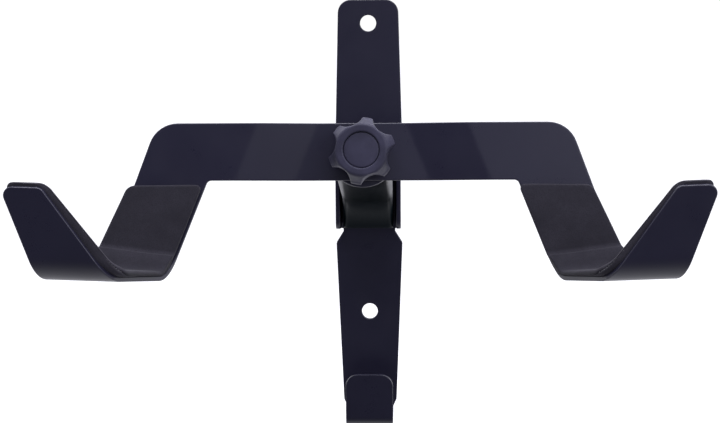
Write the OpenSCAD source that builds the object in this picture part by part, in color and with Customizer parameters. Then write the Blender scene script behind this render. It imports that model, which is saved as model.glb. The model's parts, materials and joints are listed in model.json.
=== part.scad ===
// Wall rack that holds a bicycle by its top tube.
// +Z is up, +X is to the right as seen by someone facing the wall, and the rack stands out
// from the wall along -Y. The origin is on the wall, halfway between the two screw holes.

/* [Sheet metal] */
// Thickness of the wall plate, the arm and the cradle
sheet = 3; // [2.5:0.5:4]
// Thickness of the head plate on the end of the arm
head_plate_t = 4; // [3:0.5:5]

/* [Wall plate] */
// Distance between the two screw holes
screw_spacing = 200; // [190:1:210]
// Diameter of the screw holes
screw_hole_d = 11; // [8:0.5:12]
// Width of the plate at its top end
plate_top_w = 41; // [38:1:44]
// Width of the plate where it meets the ears
plate_mid_w = 45.6; // [44:0.2:48]
// Width of the plate at its lower end
plate_low_w = 37; // [35:1:40]
// Distance from the upper screw hole to the top end
hole_to_top = 16; // [12:1:20]
// Radius of the two top corners
plate_corner_r = 9; // [5:1:12]

/* [Ears] */
// Width over the two ears
ears_w = 44; // [42:0.5:45]
// Depth of the ears from the wall
ears_depth = 32; // [30:1:36]
// Height of the top of the ears
ears_top = 22; // [20:1:26]
// Height of the bottom of the ears at their front
ears_bottom = -38; // [-42:1:-34]
// Drop of the ears' bottom edge from their front to the wall plate
ears_drop = 3.5; // [0:0.5:5]

/* [Helmet hook] */
// Width of the hook
hook_w = 32.4; // [28:0.2:34]
// Depth of the hook from the wall
hook_depth = 31; // [26:1:36]
// Height of the lowest point of the hook
hook_bottom = -175; // [-180:1:-172]
// Height of the top of the lip
hook_lip_top = -139; // [-146:1:-130]

/* [Hinge] */
// Distance of the hinge pin from the wall
hinge_out = 20; // [18:1:22]
// Height of the hinge pin
hinge_up = 6; // [4:1:8]
// Diameter of the hinge bolt
hinge_d = 8; // [6:1:8]
// Radial clearance of every running fit
fit_gap = 0.05; // [0.02:0.01:0.1]

/* [Arm] */
// Width over the arm's two walls
arm_w = 33.6; // [32:0.2:34]
// Slope of the straight part of the arm's web
arm_slope = 16; // [14:1:18]
// Radius of the curve between the heel and the straight part, on its outer face
arm_curve_r = 34; // [30:1:38]

/* [Cradle] */
// Distance from the wall to the front face of the bar
bar_out = 150; // [145:1:160]
// Height of the bar's centre line
bar_up = 25; // [23:1:27]
// Angle by which the bar leans back towards the wall
bar_lean = 8.5; // [6:0.5:10]
// Height of the bar's top edge above the clamping bolt
bar_top = 17.5; // [16:0.5:19]
// Height of the bar's lower edge, from the clamping bolt
bar_low = -17; // [-19:0.5:-15]
// Depth by which the middle of the bar is set back
bar_set_back = 5; // [3:0.5:6]
// Half width of the bar at its top edge, before the corner is rounded
bar_half_top = 123; // [118:0.5:128]
// Half width of the bar's lower edge, before the corner is rounded
bar_half_low = 92.5; // [88:0.5:96]
// Outward run of a side arm's inner edge for each millimetre of drop
side_run = 0.4; // [0.36:0.01:0.44]
// Outward run of a side arm's outer edge for each millimetre of drop
outer_run = 0.37; // [0.34:0.01:0.42]
// Outer corner radius between the bar and a side arm
bar_corner_r = 18; // [12:1:22]
// Tilt of the hook's bend lines, outer end up
hook_tilt = 2; // [1:0.5:5]
// Drop from the bar's centre line to the first bend, measured under the bar's lower corner
bend_drop = 61.3; // [58:0.1:66]
// Radius of the first bend at the middle of the sheet
bend_1_r = 14.8; // [12:0.2:17]
// Length of the straight floor of a hook
floor_l = 43.6; // [40:0.2:52]
// Radius of the second bend at the middle of the sheet
bend_2_r = 15; // [13:0.5:19]
// Angle by which the front plate of a hook flares outwards
front_flare = 15.4; // [12:0.2:20]
// Length of the straight front plate of a hook
front_l = 40; // [36:0.5:44]

/* [Pads] */
// Thickness of the foam pads
pad_t = 4; // [3:0.5:6]
// Gap between the bar's lower edge and the top of a pad
pad_top_gap = 2.7; // [2:0.1:8]

/* [Knob] */
// Diameter over the lobes of the clamping knob
knob_d = 40; // [36:1:44]
// Angle of the first lobe
knob_turn = 19.6; // [0:0.1:60]
// Diameter of the clamping bolt
clamp_d = 8; // [6:1:8]

/* [Hidden] */
$fn = 64;

black = [0.07, 0.07, 0.09];
foam = [0.14, 0.13, 0.14];
plastic = [0.09, 0.09, 0.10];
zinc = [0.62, 0.63, 0.66];
brass = [0.72, 0.58, 0.30];
nylon = [0.80, 0.80, 0.78];

big = 400;
eps = 0.01;
hinge_r = hinge_d / 2;
clamp_r = clamp_d / 2;

// ---- outline helpers ----

// Points of an arc about c from angle a to angle b.
function arc(c, r, a, b, n = 10) =
    [for (i = [0:n]) c + r * [cos(a + (b - a) * i / n), sin(a + (b - a) * i / n)]];

function unit(v) = v / norm(v);

// The fillet of radius r at corner q of the path p, q, s.
function fillet(p, q, s, r) =
    let (u = unit(p - q), v = unit(s - q),
         half = acos(u * v) / 2,
         mid = q + unit(u + v) * r / sin(half),
         a = q + u * r / tan(half) - mid,
         b = q + v * r / tan(half) - mid,
         from = atan2(a[1], a[0]),
         turn = atan2(a[0] * b[1] - a[1] * b[0], a * b))
    arc(mid, r, from, from + turn, 8);

// A closed outline whose corners are given as [x, y, radius].
function rounded(c) =
    let (n = len(c))
    [for (i = [0:n - 1])
        let (p = c[(i + n - 1) % n], q = c[i], s = c[(i + 1) % n])
        each (q[2] > 0
            ? fillet([p[0], p[1]], [q[0], q[1]], [s[0], s[1]], q[2])
            : [[q[0], q[1]]])];

// The same corners with their mirror images across x = 0.
function both_sides(c) =
    concat(c, [for (i = [len(c) - 1:-1:0]) [-c[i][0], c[i][1], c[i][2]]]);

// ---- placing helpers ----

// Extrudes a front outline in x and z from y = a to y = b.
module front_prism(points, a, b)
    translate([0, b, 0]) rotate([90, 0, 0]) linear_extrude(b - a) polygon(points);

// Extrudes a side outline, given as distance from the wall and height, centred on x = 0.
module side_prism(points, w)
    translate([-w / 2, 0, 0]) rotate([0, 0, 90]) rotate([90, 0, 0])
        linear_extrude(w) polygon([for (p = points) [-p[0], p[1]]]);

// A cylinder along x from x = a to x = b on the hinge axis.
module on_hinge(r, a, b, sides = 64)
    translate([a, -hinge_out, hinge_up]) rotate([0, 90, 0]) cylinder(r = r, h = b - a, $fn = sides);

// The bar's own frame: its front face is y = 0 and the clamping bolt runs along y.
module at_bar()
    translate([0, -bar_out, bar_up]) rotate([-bar_lean, 0, 0]) children();

// A cylinder on the clamping bolt's axis, from a to b in front of the bar's face.
module on_bolt(r, a, b, sides = 64)
    translate([0, -a, 0]) rotate([90, 0, 0]) cylinder(r = r, h = b - a, $fn = sides);

// ---- wall plate ----

ear_bend_r = 4;
notch_x = ears_w / 2 - ear_bend_r;
ears_foot = ears_bottom - ears_drop;
upper_notch = 5;
upper_shoulder = 8;
lower_notch = 2;
lower_shoulder = 10;
hook_r = 6;
hook_neck = hook_bottom + hook_r + 6;

plate_outline = rounded(both_sides([
    [plate_top_w / 2, screw_spacing / 2 + hole_to_top, plate_corner_r],
    [plate_mid_w / 2, ears_top + upper_shoulder, 2],
    [notch_x, ears_top + upper_notch, 1.5],
    [notch_x, ears_foot - lower_notch, 1],
    [plate_mid_w / 2 + 0.2, ears_foot - lower_shoulder, 4],
    [plate_low_w / 2, hook_neck, 2],
    [hook_w / 2, hook_neck - 5, 1],
    [hook_w / 2, hook_bottom + hook_r, 0]]));

ear_outline = rounded([
    [-1, ears_top, 0],
    [ears_depth, ears_top, 10],
    [ears_depth, ears_bottom, 7],
    [-1, ears_foot, 0]]);

// Section of one ear with its bend, in x and distance from the wall.
ear_section = concat(
    [[notch_x - eps, 0]],
    arc([notch_x, ear_bend_r], ear_bend_r, -90, 0),
    [[ears_w / 2, ears_depth + 1], [ears_w / 2 - sheet, ears_depth + 1]],
    arc([notch_x, ear_bend_r], ear_bend_r - sheet, 0, -90),
    [[notch_x - eps, sheet]]);

// Side view of the helmet hook: down the wall, along the floor and up the lip.
hook_side = concat(
    [[0, hook_bottom + hook_r + eps]],
    arc([hook_r, hook_bottom + hook_r], hook_r, 180, 270),
    arc([hook_depth - hook_r, hook_bottom + hook_r], hook_r, 270, 360),
    [[hook_depth, hook_lip_top], [hook_depth - sheet, hook_lip_top]],
    arc([hook_depth - hook_r, hook_bottom + hook_r], hook_r - sheet, 360, 270),
    arc([hook_r, hook_bottom + hook_r], hook_r - sheet, 270, 180),
    [[sheet, hook_bottom + hook_r + eps]]);

hook_front = rounded(both_sides([[hook_w / 2, hook_lip_top, 6.5], [hook_w / 2, hook_bottom - 1, 0]]));

module ear()
    intersection() {
        translate([0, 0, ears_foot - 1])
            linear_extrude(ears_top - ears_foot + 2) polygon([for (p = ear_section) [p[0], -p[1]]]);
        side_prism(ear_outline, big);
    }

module helmet_hook()
    intersection() {
        side_prism(hook_side, hook_w);
        front_prism(hook_front, -hook_depth - 1, 1);
    }

module wall_plate()
    color(black) difference() {
        union() {
            front_prism(plate_outline, -sheet, 0);
            ear();
            mirror([1, 0, 0]) ear();
            helmet_hook();
        }
        for (z = [-1, 1] * screw_spacing / 2)
            translate([0, 1, z]) rotate([90, 0, 0]) cylinder(d = screw_hole_d, h = sheet + 2);
        on_hinge(hinge_r + fit_gap, -ears_w, ears_w);
    }

// ---- hinge ----

washer_t = 1.6;
washer_r = 8;
hex_head_t = 5.3;
hex_r = 7.5;
nut_t = 6.5;
thread_end = 2.5;
shim_gap = 0.15;
washer_hole_r = hinge_r + 0.2;

module ring_on_hinge(r, a, b)
    difference() {
        on_hinge(r, a, b);
        on_hinge(washer_hole_r, a - 1, b + 1);
    }

module hinge_bolt()
    color(zinc) union() {
        on_hinge(hinge_r, -ears_w / 2 - washer_t - eps, ears_w / 2 + washer_t + nut_t + thread_end);
        on_hinge(hex_r, -ears_w / 2 - washer_t - hex_head_t, -ears_w / 2 - washer_t, 6);
    }

module bolt_washer() color(zinc) ring_on_hinge(washer_r, -ears_w / 2 - washer_t, -ears_w / 2);

module nut_washer() color(zinc) ring_on_hinge(washer_r, ears_w / 2, ears_w / 2 + washer_t);

module hinge_nut()
    color(zinc) difference() {
        on_hinge(hex_r, ears_w / 2 + washer_t, ears_w / 2 + washer_t + nut_t, 6);
        on_hinge(hinge_r + fit_gap, 0, big);
    }

module shim() ring_on_hinge(10, arm_w / 2 + shim_gap, ears_w / 2 - sheet - shim_gap);

module hinge_shim_right() color(nylon) shim();

module hinge_shim_left() color(nylon) mirror([1, 0, 0]) shim();

module hinge_sleeve()
    color(zinc) difference() {
        on_hinge(7, -arm_w / 2 + sheet, arm_w / 2 - sheet);
        on_hinge(hinge_r + fit_gap, -arm_w, arm_w);
    }

// ---- arm ----

heel_out = sheet + 0.1;
web_out = 26;
web_foot = ears_bottom;
disc_t = 1.5;
head_back = bar_set_back + sheet + disc_t + head_plate_t;

// A point of the bar's frame, from its distance behind the front face and its height above
// the bolt, as distance from the wall and height.
function bar_point(behind, up) = [
    bar_out - behind * cos(bar_lean) - up * sin(bar_lean),
    bar_up - behind * sin(bar_lean) + up * cos(bar_lean)];

web_top = bar_point(head_back, -14);
curve_end_angle = 90 + arm_slope;
curve_end_out = web_out + arm_curve_r * (1 + cos(curve_end_angle));
curve_end_up = web_top[1] - (web_top[0] - curve_end_out) * tan(arm_slope);
curve_mid = [web_out + arm_curve_r, curve_end_up - arm_curve_r * sin(curve_end_angle)];

// The web's path from its foot to the head, at distance r from the curve's centre.
function web_path(r) =
    let (foot = 180 - asin((web_foot - curve_mid[1]) / r),
         head = web_top + (r - arm_curve_r) * [-sin(arm_slope), cos(arm_slope)])
    concat(arc(curve_mid, r, foot, curve_end_angle, 14), [head]);

hinge_eye_r = 15;
arm_side = concat(
    web_path(arm_curve_r),
    [bar_point(head_back, 10)],
    arc([hinge_out, hinge_up], hinge_eye_r, 76, 180),
    [[heel_out, hinge_up - 16], [heel_out, web_foot]]);

arm_hollow = concat(
    web_path(arm_curve_r + sheet),
    [[bar_out, web_top[1] + 2], [bar_out, 90], [-20, 90], [-20, web_foot - 10],
     [web_out, web_foot - 10]]);

module arm()
    color(black) difference() {
        side_prism(arm_side, arm_w);
        side_prism(arm_hollow, arm_w - 2 * sheet);
        at_bar() translate([-big / 2, -big + head_back, -big / 2]) cube(big);
        on_hinge(hinge_r + fit_gap, -arm_w, arm_w);
    }

head_r = 21;
neck_w = clamp_d;

module head_plate()
    color(black) at_bar() difference() {
        intersection() {
            on_bolt(head_r, -head_back, -head_back + head_plate_t);
            translate([-big / 2, -big / 2, -head_r - 1]) cube([big, big, head_r + 1 + bar_top - 2.5]);
        }
        translate([-neck_w / 2 - fit_gap, 0, -neck_w / 2 - fit_gap])
            cube([neck_w + 2 * fit_gap, head_back + 1, neck_w + 2 * fit_gap]);
    }

// ---- clamp ----

bolt_head_r = 9;
bolt_head_t = 4;
knob_base = -bar_set_back + washer_t;
bolt_end = 9;

module clamp_bolt()
    color(zinc) at_bar() {
        on_bolt(clamp_r, -head_back - 1, bolt_end);
        translate([-neck_w / 2, head_back - head_plate_t, -neck_w / 2]) cube([neck_w, head_plate_t, neck_w]);
        intersection() {
            on_bolt(bolt_head_r, -head_back - bolt_head_t, -head_back);
            translate([0, head_back - 10, 0]) sphere(r = 14, $fn = 64);
        }
    }

module friction_disc()
    color(plastic) at_bar() difference() {
        on_bolt(15, -head_back + head_plate_t, -head_back + head_plate_t + disc_t);
        on_bolt(clamp_r + 0.2, -big / 2, big / 2);
    }

module clamp_washer()
    color(zinc) at_bar() difference() {
        on_bolt(12, -bar_set_back, -bar_set_back + washer_t);
        on_bolt(clamp_r + 0.2, -big / 2, big / 2);
    }

lobe_r = knob_d / 2;
lobe_count = 6;
knob_front = 19;
knob_face_r = 14.3;
cap_r = 10.5;
cap_t = 2;
cap_sunk = 0.8;
insert_r = 6.5;
insert_l = 13;
scallop_r = 9.4;
scallop_at = lobe_r + 4.8;

// Half section of the knob's round envelope: radius and distance in front of the bar.
knob_section = [
    [0, knob_base], [11, knob_base], [13, knob_base + 3], [lobe_r - 1.2, 1.5],
    [lobe_r, 3.5], [lobe_r, 8.5], [lobe_r - 1.5, 10.5], [knob_face_r + 1.6, knob_front - 1.6],
    [knob_face_r, knob_front], [0, knob_front]];

module knob()
    color(plastic) at_bar() difference() {
        rotate([90, 0, 0]) rotate_extrude($fn = 96) polygon(knob_section);
        for (i = [0:lobe_count - 1])
            rotate([0, -knob_turn - (i + 0.5) * 360 / lobe_count, 0])
                translate([scallop_at, 0, 0]) on_bolt(scallop_r, knob_base - 1, knob_front + 1);
        on_bolt(cap_r + fit_gap, knob_front - cap_sunk - cap_t, knob_front + 1);
        on_bolt(insert_r + eps, knob_base - 1, knob_base + insert_l);
    }

module knob_insert()
    color(brass) at_bar() difference() {
        on_bolt(insert_r, knob_base, knob_base + insert_l);
        on_bolt(clamp_r + fit_gap, -big / 2, big / 2);
    }

module knob_cap()
    color(plastic) at_bar() on_bolt(cap_r, knob_front - cap_sunk - cap_t, knob_front - cap_sunk);

// ---- cradle ----

// The strip is described flat, then bent. In the plane of the bar, t runs down across the
// bend lines from the first bend's start, and a runs outwards along them.
arc_1 = bend_1_r * PI / 2;
arc_2 = bend_2_r * (90 - front_flare) * PI / 180;
strip_end = arc_1 + floor_l + arc_2 + front_l;
inner_run_a = tan(atan(side_run) - hook_tilt);
outer_run_a = tan(atan(outer_run) - hook_tilt);
flat_end = -4;

// Position across the sheet: w forwards and d down, at t along the strip, off inside its middle.
function bent(t, off) =
    t <= 0 ? [off, t]
    : t <= arc_1
        ? let (k = t / bend_1_r * 180 / PI)
          [bend_1_r - (bend_1_r - off) * cos(k), (bend_1_r - off) * sin(k)]
    : t <= arc_1 + floor_l
        ? [bend_1_r + t - arc_1, bend_1_r - off]
    : t <= arc_1 + floor_l + arc_2
        ? let (k = (t - arc_1 - floor_l) / bend_2_r * 180 / PI)
          [bend_1_r + floor_l + (bend_2_r - off) * sin(k),
           bend_1_r - bend_2_r + (bend_2_r - off) * cos(k)]
        : let (h = t - arc_1 - floor_l - arc_2, k = 90 - front_flare)
          [bend_1_r + floor_l + (bend_2_r - off) * sin(k) + h * cos(k),
           bend_1_r - bend_2_r + (bend_2_r - off) * cos(k) - h * sin(k)];

// The same point in the bar's frame, on the right-hand hook.
function strip_point(a, t, off) =
    let (p = bent(t, off))
    [bar_half_low + a * cos(hook_tilt) + p[1] * sin(hook_tilt),
     sheet / 2 - p[0],
     -bend_drop + a * sin(hook_tilt) - p[1] * cos(hook_tilt)];

// Where an edge of the side arm, which starts at x and z in the bar's plane, crosses t = 0.
function edge_start(x, z, run) =
    let (drop = (z + bend_drop + (bar_half_low - x) * tan(hook_tilt))
                / (1 + run * tan(hook_tilt)))
    (x + run * drop - bar_half_low) / cos(hook_tilt);

inner_start = edge_start(bar_half_low, bar_low, side_run);
outer_start = edge_start(bar_half_top, bar_top, outer_run);
inner_taper_at = 72.8;
outer_taper_at = 4;
inner_taper = 0.717;
outer_taper = 0.367;

function inner_edge(t) =
    inner_start + inner_run_a * min(t, inner_taper_at) + inner_taper * max(0, t - inner_taper_at);

function outer_edge(t) =
    outer_start + outer_run_a * min(t, outer_taper_at) + outer_taper * max(0, t - outer_taper_at);

// How far a corner of radius r pulls an edge in, h short of the end.
function corner_in(r, h) = h >= r ? 0 : r - sqrt(r * r - (r - h) * (r - h));

// Places along the strip: close together in the bends and at the rounded end.
function steps(end) = concat(
    [for (i = [0:8]) arc_1 * i / 8],
    [for (i = [1:2]) arc_1 + floor_l * i / 2],
    [for (i = [1:10]) arc_1 + floor_l + arc_2 * i / 10],
    [for (h = [6, 4, 2.5, 1.2, 0.4, 0]) end - h]);

// A closed solid through rings of four corners each.
module ring_solid(rings) {
    n = len(rings);
    points = [for (r = rings) each r];
    sides = [for (i = [0:n - 2], k = [0:3])
        [4 * i + k, 4 * i + (k + 1) % 4, 4 * i + 4 + (k + 1) % 4, 4 * i + 4 + k]];
    polyhedron(points = points, faces = concat([[3, 2, 1, 0]], sides,
        [[4 * n - 4, 4 * n - 3, 4 * n - 2, 4 * n - 1]]));
}

strip_corner_r = 5;

module hook_strip()
    ring_solid([for (t = concat([flat_end - 4], steps(strip_end)))
        let (in = inner_edge(t) + eps + corner_in(strip_corner_r, strip_end - t),
             out = outer_edge(t) - eps - corner_in(strip_corner_r, strip_end - t),
             h = sheet / 2 - eps)
        [strip_point(in, t, h), strip_point(out, t, h),
         strip_point(out, t, -h), strip_point(in, t, -h)]]);

// Front outline of half the bar and its side arm, down to the flat end of the strip.
function flat_corner(a) = let (p = strip_point(a, flat_end, 0)) [p[0], p[2], 0];

bar_outline = rounded([
    [-eps, bar_top, 0],
    [-eps, bar_low, 0],
    [bar_half_low, bar_low, 3],
    flat_corner(inner_edge(flat_end)),
    flat_corner(outer_edge(flat_end)),
    [bar_half_top, bar_top, bar_corner_r]]);

// The set-back: the sheet's section across the bend lines, which run along the side arms.
side_angle = atan(side_run);
set_back_in = 31.4;
set_back_out = 64.7;
bend_shift = 0.2;
bar_section = [
    [-60, bar_set_back], [set_back_in, bar_set_back], [set_back_out, 0], [big, 0],
    [big, sheet], [set_back_out + bend_shift, sheet],
    [set_back_in + bend_shift, bar_set_back + sheet], [-60, bar_set_back + sheet]];

module half_cradle() {
    intersection() {
        front_prism(bar_outline, -1, bar_set_back + sheet + 1);
        rotate([0, -side_angle, 0]) translate([0, 0, -big / 2])
            linear_extrude(big) polygon(bar_section);
    }
    hook_strip();
}

module cradle()
    color(black) at_bar() difference() {
        union() {
            half_cradle();
            mirror([1, 0, 0]) half_cradle();
        }
        on_bolt(clamp_r + fit_gap, -big / 2, big / 2);
    }

// ---- pads ----

pad_over = 1.5;
pad_corner_r = 4;
pad_fan = 0.1;
pad_front_inset = 3;
pad_front_close = 3.2;

// Where the pad's level top edge lies along the strip.
function pad_start(a) =
    (-bend_drop + a * sin(hook_tilt) - bar_low + pad_top_gap) / cos(hook_tilt);

// Blends from 0 at the first bend to 1 where the front plate starts.
front_at = strip_end - front_l;
function along(t) = min(1, max(0, t / front_at));

// A pad's edges: the outer one fans out below the bar and ends inside the front plate's edge,
// the inner one sticks out most where the front plate starts.
function pad_outer(t, over) =
    outer_edge(t) + over + pad_fan * min(0, t) - (over + pad_front_inset) * along(t);

function pad_inner(t, over, front) =
    inner_edge(t) - over - (front - over) * along(t)
    + pad_front_close * max(0, t - front_at) / front_l;

// A pad that sticks out by out_over and in_over at the first bend and by front_over at the
// front plate's inner edge.
module pad(out_over, in_over, front_over) {
    lo = sheet / 2;
    hi = sheet / 2 + pad_t;
    end = strip_end + pad_over;
    top_in = pad_start(pad_inner(-40, in_over, front_over));
    top_out = pad_start(pad_outer(-40, out_over));
    places = concat(
        [for (h = [0, 0.5, 1.3, 2.5, 4]) [top_in + h, top_out + h, corner_in(pad_corner_r, h)]],
        [for (t = steps(end)) [t, t, corner_in(pad_corner_r, end - t)]]);
    ring_solid([for (p = places)
        let (ia = pad_inner(p[0], in_over, front_over) + p[2],
             oa = pad_outer(p[1], out_over) - p[2])
        [strip_point(ia, p[0], hi), strip_point(oa, p[1], hi),
         strip_point(oa, p[1], lo), strip_point(ia, p[0], lo)]]);
}

module pad_right() color(foam) at_bar() pad(3.3, 1, 4.3);

module pad_left() color(foam) at_bar() mirror([1, 0, 0]) pad(6.3, -3, 6.3);

wall_plate();
hinge_bolt();
bolt_washer();
nut_washer();
hinge_nut();
hinge_shim_left();
hinge_shim_right();
arm();
hinge_sleeve();
head_plate();
clamp_bolt();
friction_disc();
cradle();
pad_left();
pad_right();
clamp_washer();
knob();
knob_insert();
knob_cap();
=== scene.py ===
"""Looks of the bicycle wall rack. Shapes are worked out in millimetres in the frame of the
CAD part: +X right, -Y out of the wall, +Z up, origin midway between the screw holes."""

import json
import math

import bmesh
import bpy
import numpy as np
from mathutils import Matrix, Vector, noise
from mathutils.geometry import delaunay_2d_cdt


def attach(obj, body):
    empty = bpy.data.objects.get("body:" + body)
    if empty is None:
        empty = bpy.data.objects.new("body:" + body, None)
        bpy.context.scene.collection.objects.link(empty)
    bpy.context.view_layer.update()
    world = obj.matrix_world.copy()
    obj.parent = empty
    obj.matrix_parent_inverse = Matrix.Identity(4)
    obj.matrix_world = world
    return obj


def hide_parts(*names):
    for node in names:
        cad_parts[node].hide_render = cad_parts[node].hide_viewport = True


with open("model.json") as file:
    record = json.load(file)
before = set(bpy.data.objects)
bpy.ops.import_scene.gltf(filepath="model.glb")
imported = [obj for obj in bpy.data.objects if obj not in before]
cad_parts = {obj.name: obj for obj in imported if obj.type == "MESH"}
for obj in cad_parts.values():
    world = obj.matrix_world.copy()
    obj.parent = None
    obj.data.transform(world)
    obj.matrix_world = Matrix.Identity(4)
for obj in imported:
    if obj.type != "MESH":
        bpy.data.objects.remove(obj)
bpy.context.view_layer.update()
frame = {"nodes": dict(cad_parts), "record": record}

MM = 0.001
SHEET = 3.0
BORE_R = 4.05  # holes for the M8 bolts
BAR_OUT, BAR_UP, BAR_LEAN = 150.0, 25.0, math.radians(8.5)
HINGE_OUT, HINGE_UP = 20.0, 6.0
FAR = 99  # a distance beyond every limit
MERGE = 1e-6  # metres within which points are one
SLIVER = 1e-9  # square metres; a loose face smaller than this is left over from triangulation


# ---- small helpers ----

def link(obj):
    bpy.context.scene.collection.objects.link(obj)
    return obj


def mesh_object(name, verts, faces, smooth=True):
    """A mesh from millimetre points, with its faces turned outwards."""
    mesh = bpy.data.meshes.new(name)
    mesh.from_pydata([tuple(c * MM for c in v) for v in verts], [], faces)
    mesh.validate()
    bm = bmesh.new()
    bm.from_mesh(mesh)
    bmesh.ops.remove_doubles(bm, verts=bm.verts, dist=MERGE)
    while slivers := [f for f in bm.faces if f.calc_area() < SLIVER
                      and any(len(e.link_faces) == 1 for e in f.edges)]:
        bmesh.ops.delete(bm, geom=slivers, context="FACES")
    bmesh.ops.recalc_face_normals(bm, faces=bm.faces)
    bm.to_mesh(mesh)
    bm.free()
    mesh.polygons.foreach_set("use_smooth", [smooth] * len(mesh.polygons))
    mesh.update()
    return link(bpy.data.objects.new(name, mesh))


def ring_faces(count, n, first=0, closed=False):
    """Quads that join count rings of n points each, the first ring starting at point first."""
    faces = []
    for i in range(count if closed else count - 1):
        a, b = first + i * n, first + (i + 1) % count * n
        faces += [(a + k, a + (k + 1) % n, b + (k + 1) % n, b + k) for k in range(n)]
    return faces


def at_bar(p):
    """A point of the bar's frame in the frame of the part."""
    c, s = math.cos(BAR_LEAN), math.sin(BAR_LEAN)
    return (p[0], -BAR_OUT + p[1] * c + p[2] * s, BAR_UP - p[1] * s + p[2] * c)


# ---- outlines ----

def arc(c, r, a, b, n=10):
    return [(c[0] + r * math.cos(math.radians(a + (b - a) * i / n)),
             c[1] + r * math.sin(math.radians(a + (b - a) * i / n))) for i in range(n + 1)]


def rounded(corners, n=8):
    """A closed outline whose corners are given as (x, y, radius)."""
    out = []
    for i, (x, y, r) in enumerate(corners):
        q = np.array((x, y))
        if r <= 0:
            out.append((x, y))
            continue
        u = np.array(corners[i - 1][:2]) - q
        v = np.array(corners[(i + 1) % len(corners)][:2]) - q
        u, v = u / np.linalg.norm(u), v / np.linalg.norm(v)
        half = math.acos(np.clip(u @ v, -1, 1)) / 2
        if half > math.radians(89.5):
            out.append((x, y))
            continue
        mid = q + (u + v) / np.linalg.norm(u + v) * r / math.sin(half)
        a = q + u * r / math.tan(half) - mid
        b = q + v * r / math.tan(half) - mid
        start = math.atan2(a[1], a[0])
        turn = math.atan2(a[0] * b[1] - a[1] * b[0], a @ b)
        angles = [start + turn * k / n for k in range(n + 1)]
        out += [tuple(mid + r * np.array((math.cos(t), math.sin(t)))) for t in angles]
    return out


def both_sides(corners):
    return corners + [(-x, y, r) for x, y, r in reversed(corners)]


def resample(loop, step):
    out = []
    for i, p in enumerate(loop):
        q = loop[(i + 1) % len(loop)]
        length = math.dist(p, q)
        if length < 1e-4:
            continue
        n = max(1, math.ceil(length / step))
        out += [(p[0] + (q[0] - p[0]) * k / n, p[1] + (q[1] - p[1]) * k / n) for k in range(n)]
    return out


def area(loop):
    p = np.array(loop)
    q = np.roll(p, -1, 0)
    return float((p[:, 0] * q[:, 1] - q[:, 0] * p[:, 1]).sum() / 2)


def inset(loop, d):
    """Each point moved d to the left of the loop's direction, mitred at the corners."""
    p = np.array(loop)
    e = np.roll(p, -1, 0) - p
    e /= np.linalg.norm(e, axis=1)[:, None]
    n = np.stack((-e[:, 1], e[:, 0]), 1)
    m = n + np.roll(n, 1, 0)
    m /= np.maximum((m ** 2).sum(1) / 2, 0.35)[:, None]
    return p + m * d


def inside(points, loop):
    """Which points are inside a closed loop."""
    p = np.array(points)
    hit = np.zeros(len(p), bool)
    q = np.array(loop)
    for a, b in zip(q, np.roll(q, -1, 0)):
        cross = (a[1] > p[:, 1]) != (b[1] > p[:, 1])
        with np.errstate(divide="ignore", invalid="ignore"):
            x = (b[0] - a[0]) * (p[:, 1] - a[1]) / (b[1] - a[1]) + a[0]
        hit ^= cross & (p[:, 0] < x)
    return hit


SKIRT = 1.9  # width of the rim that is meshed in rings, in edge radii
RIM_CLEAR, POINT_CLEAR, ROW_CLEAR = 0.6, 0.8, 0.4


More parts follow.
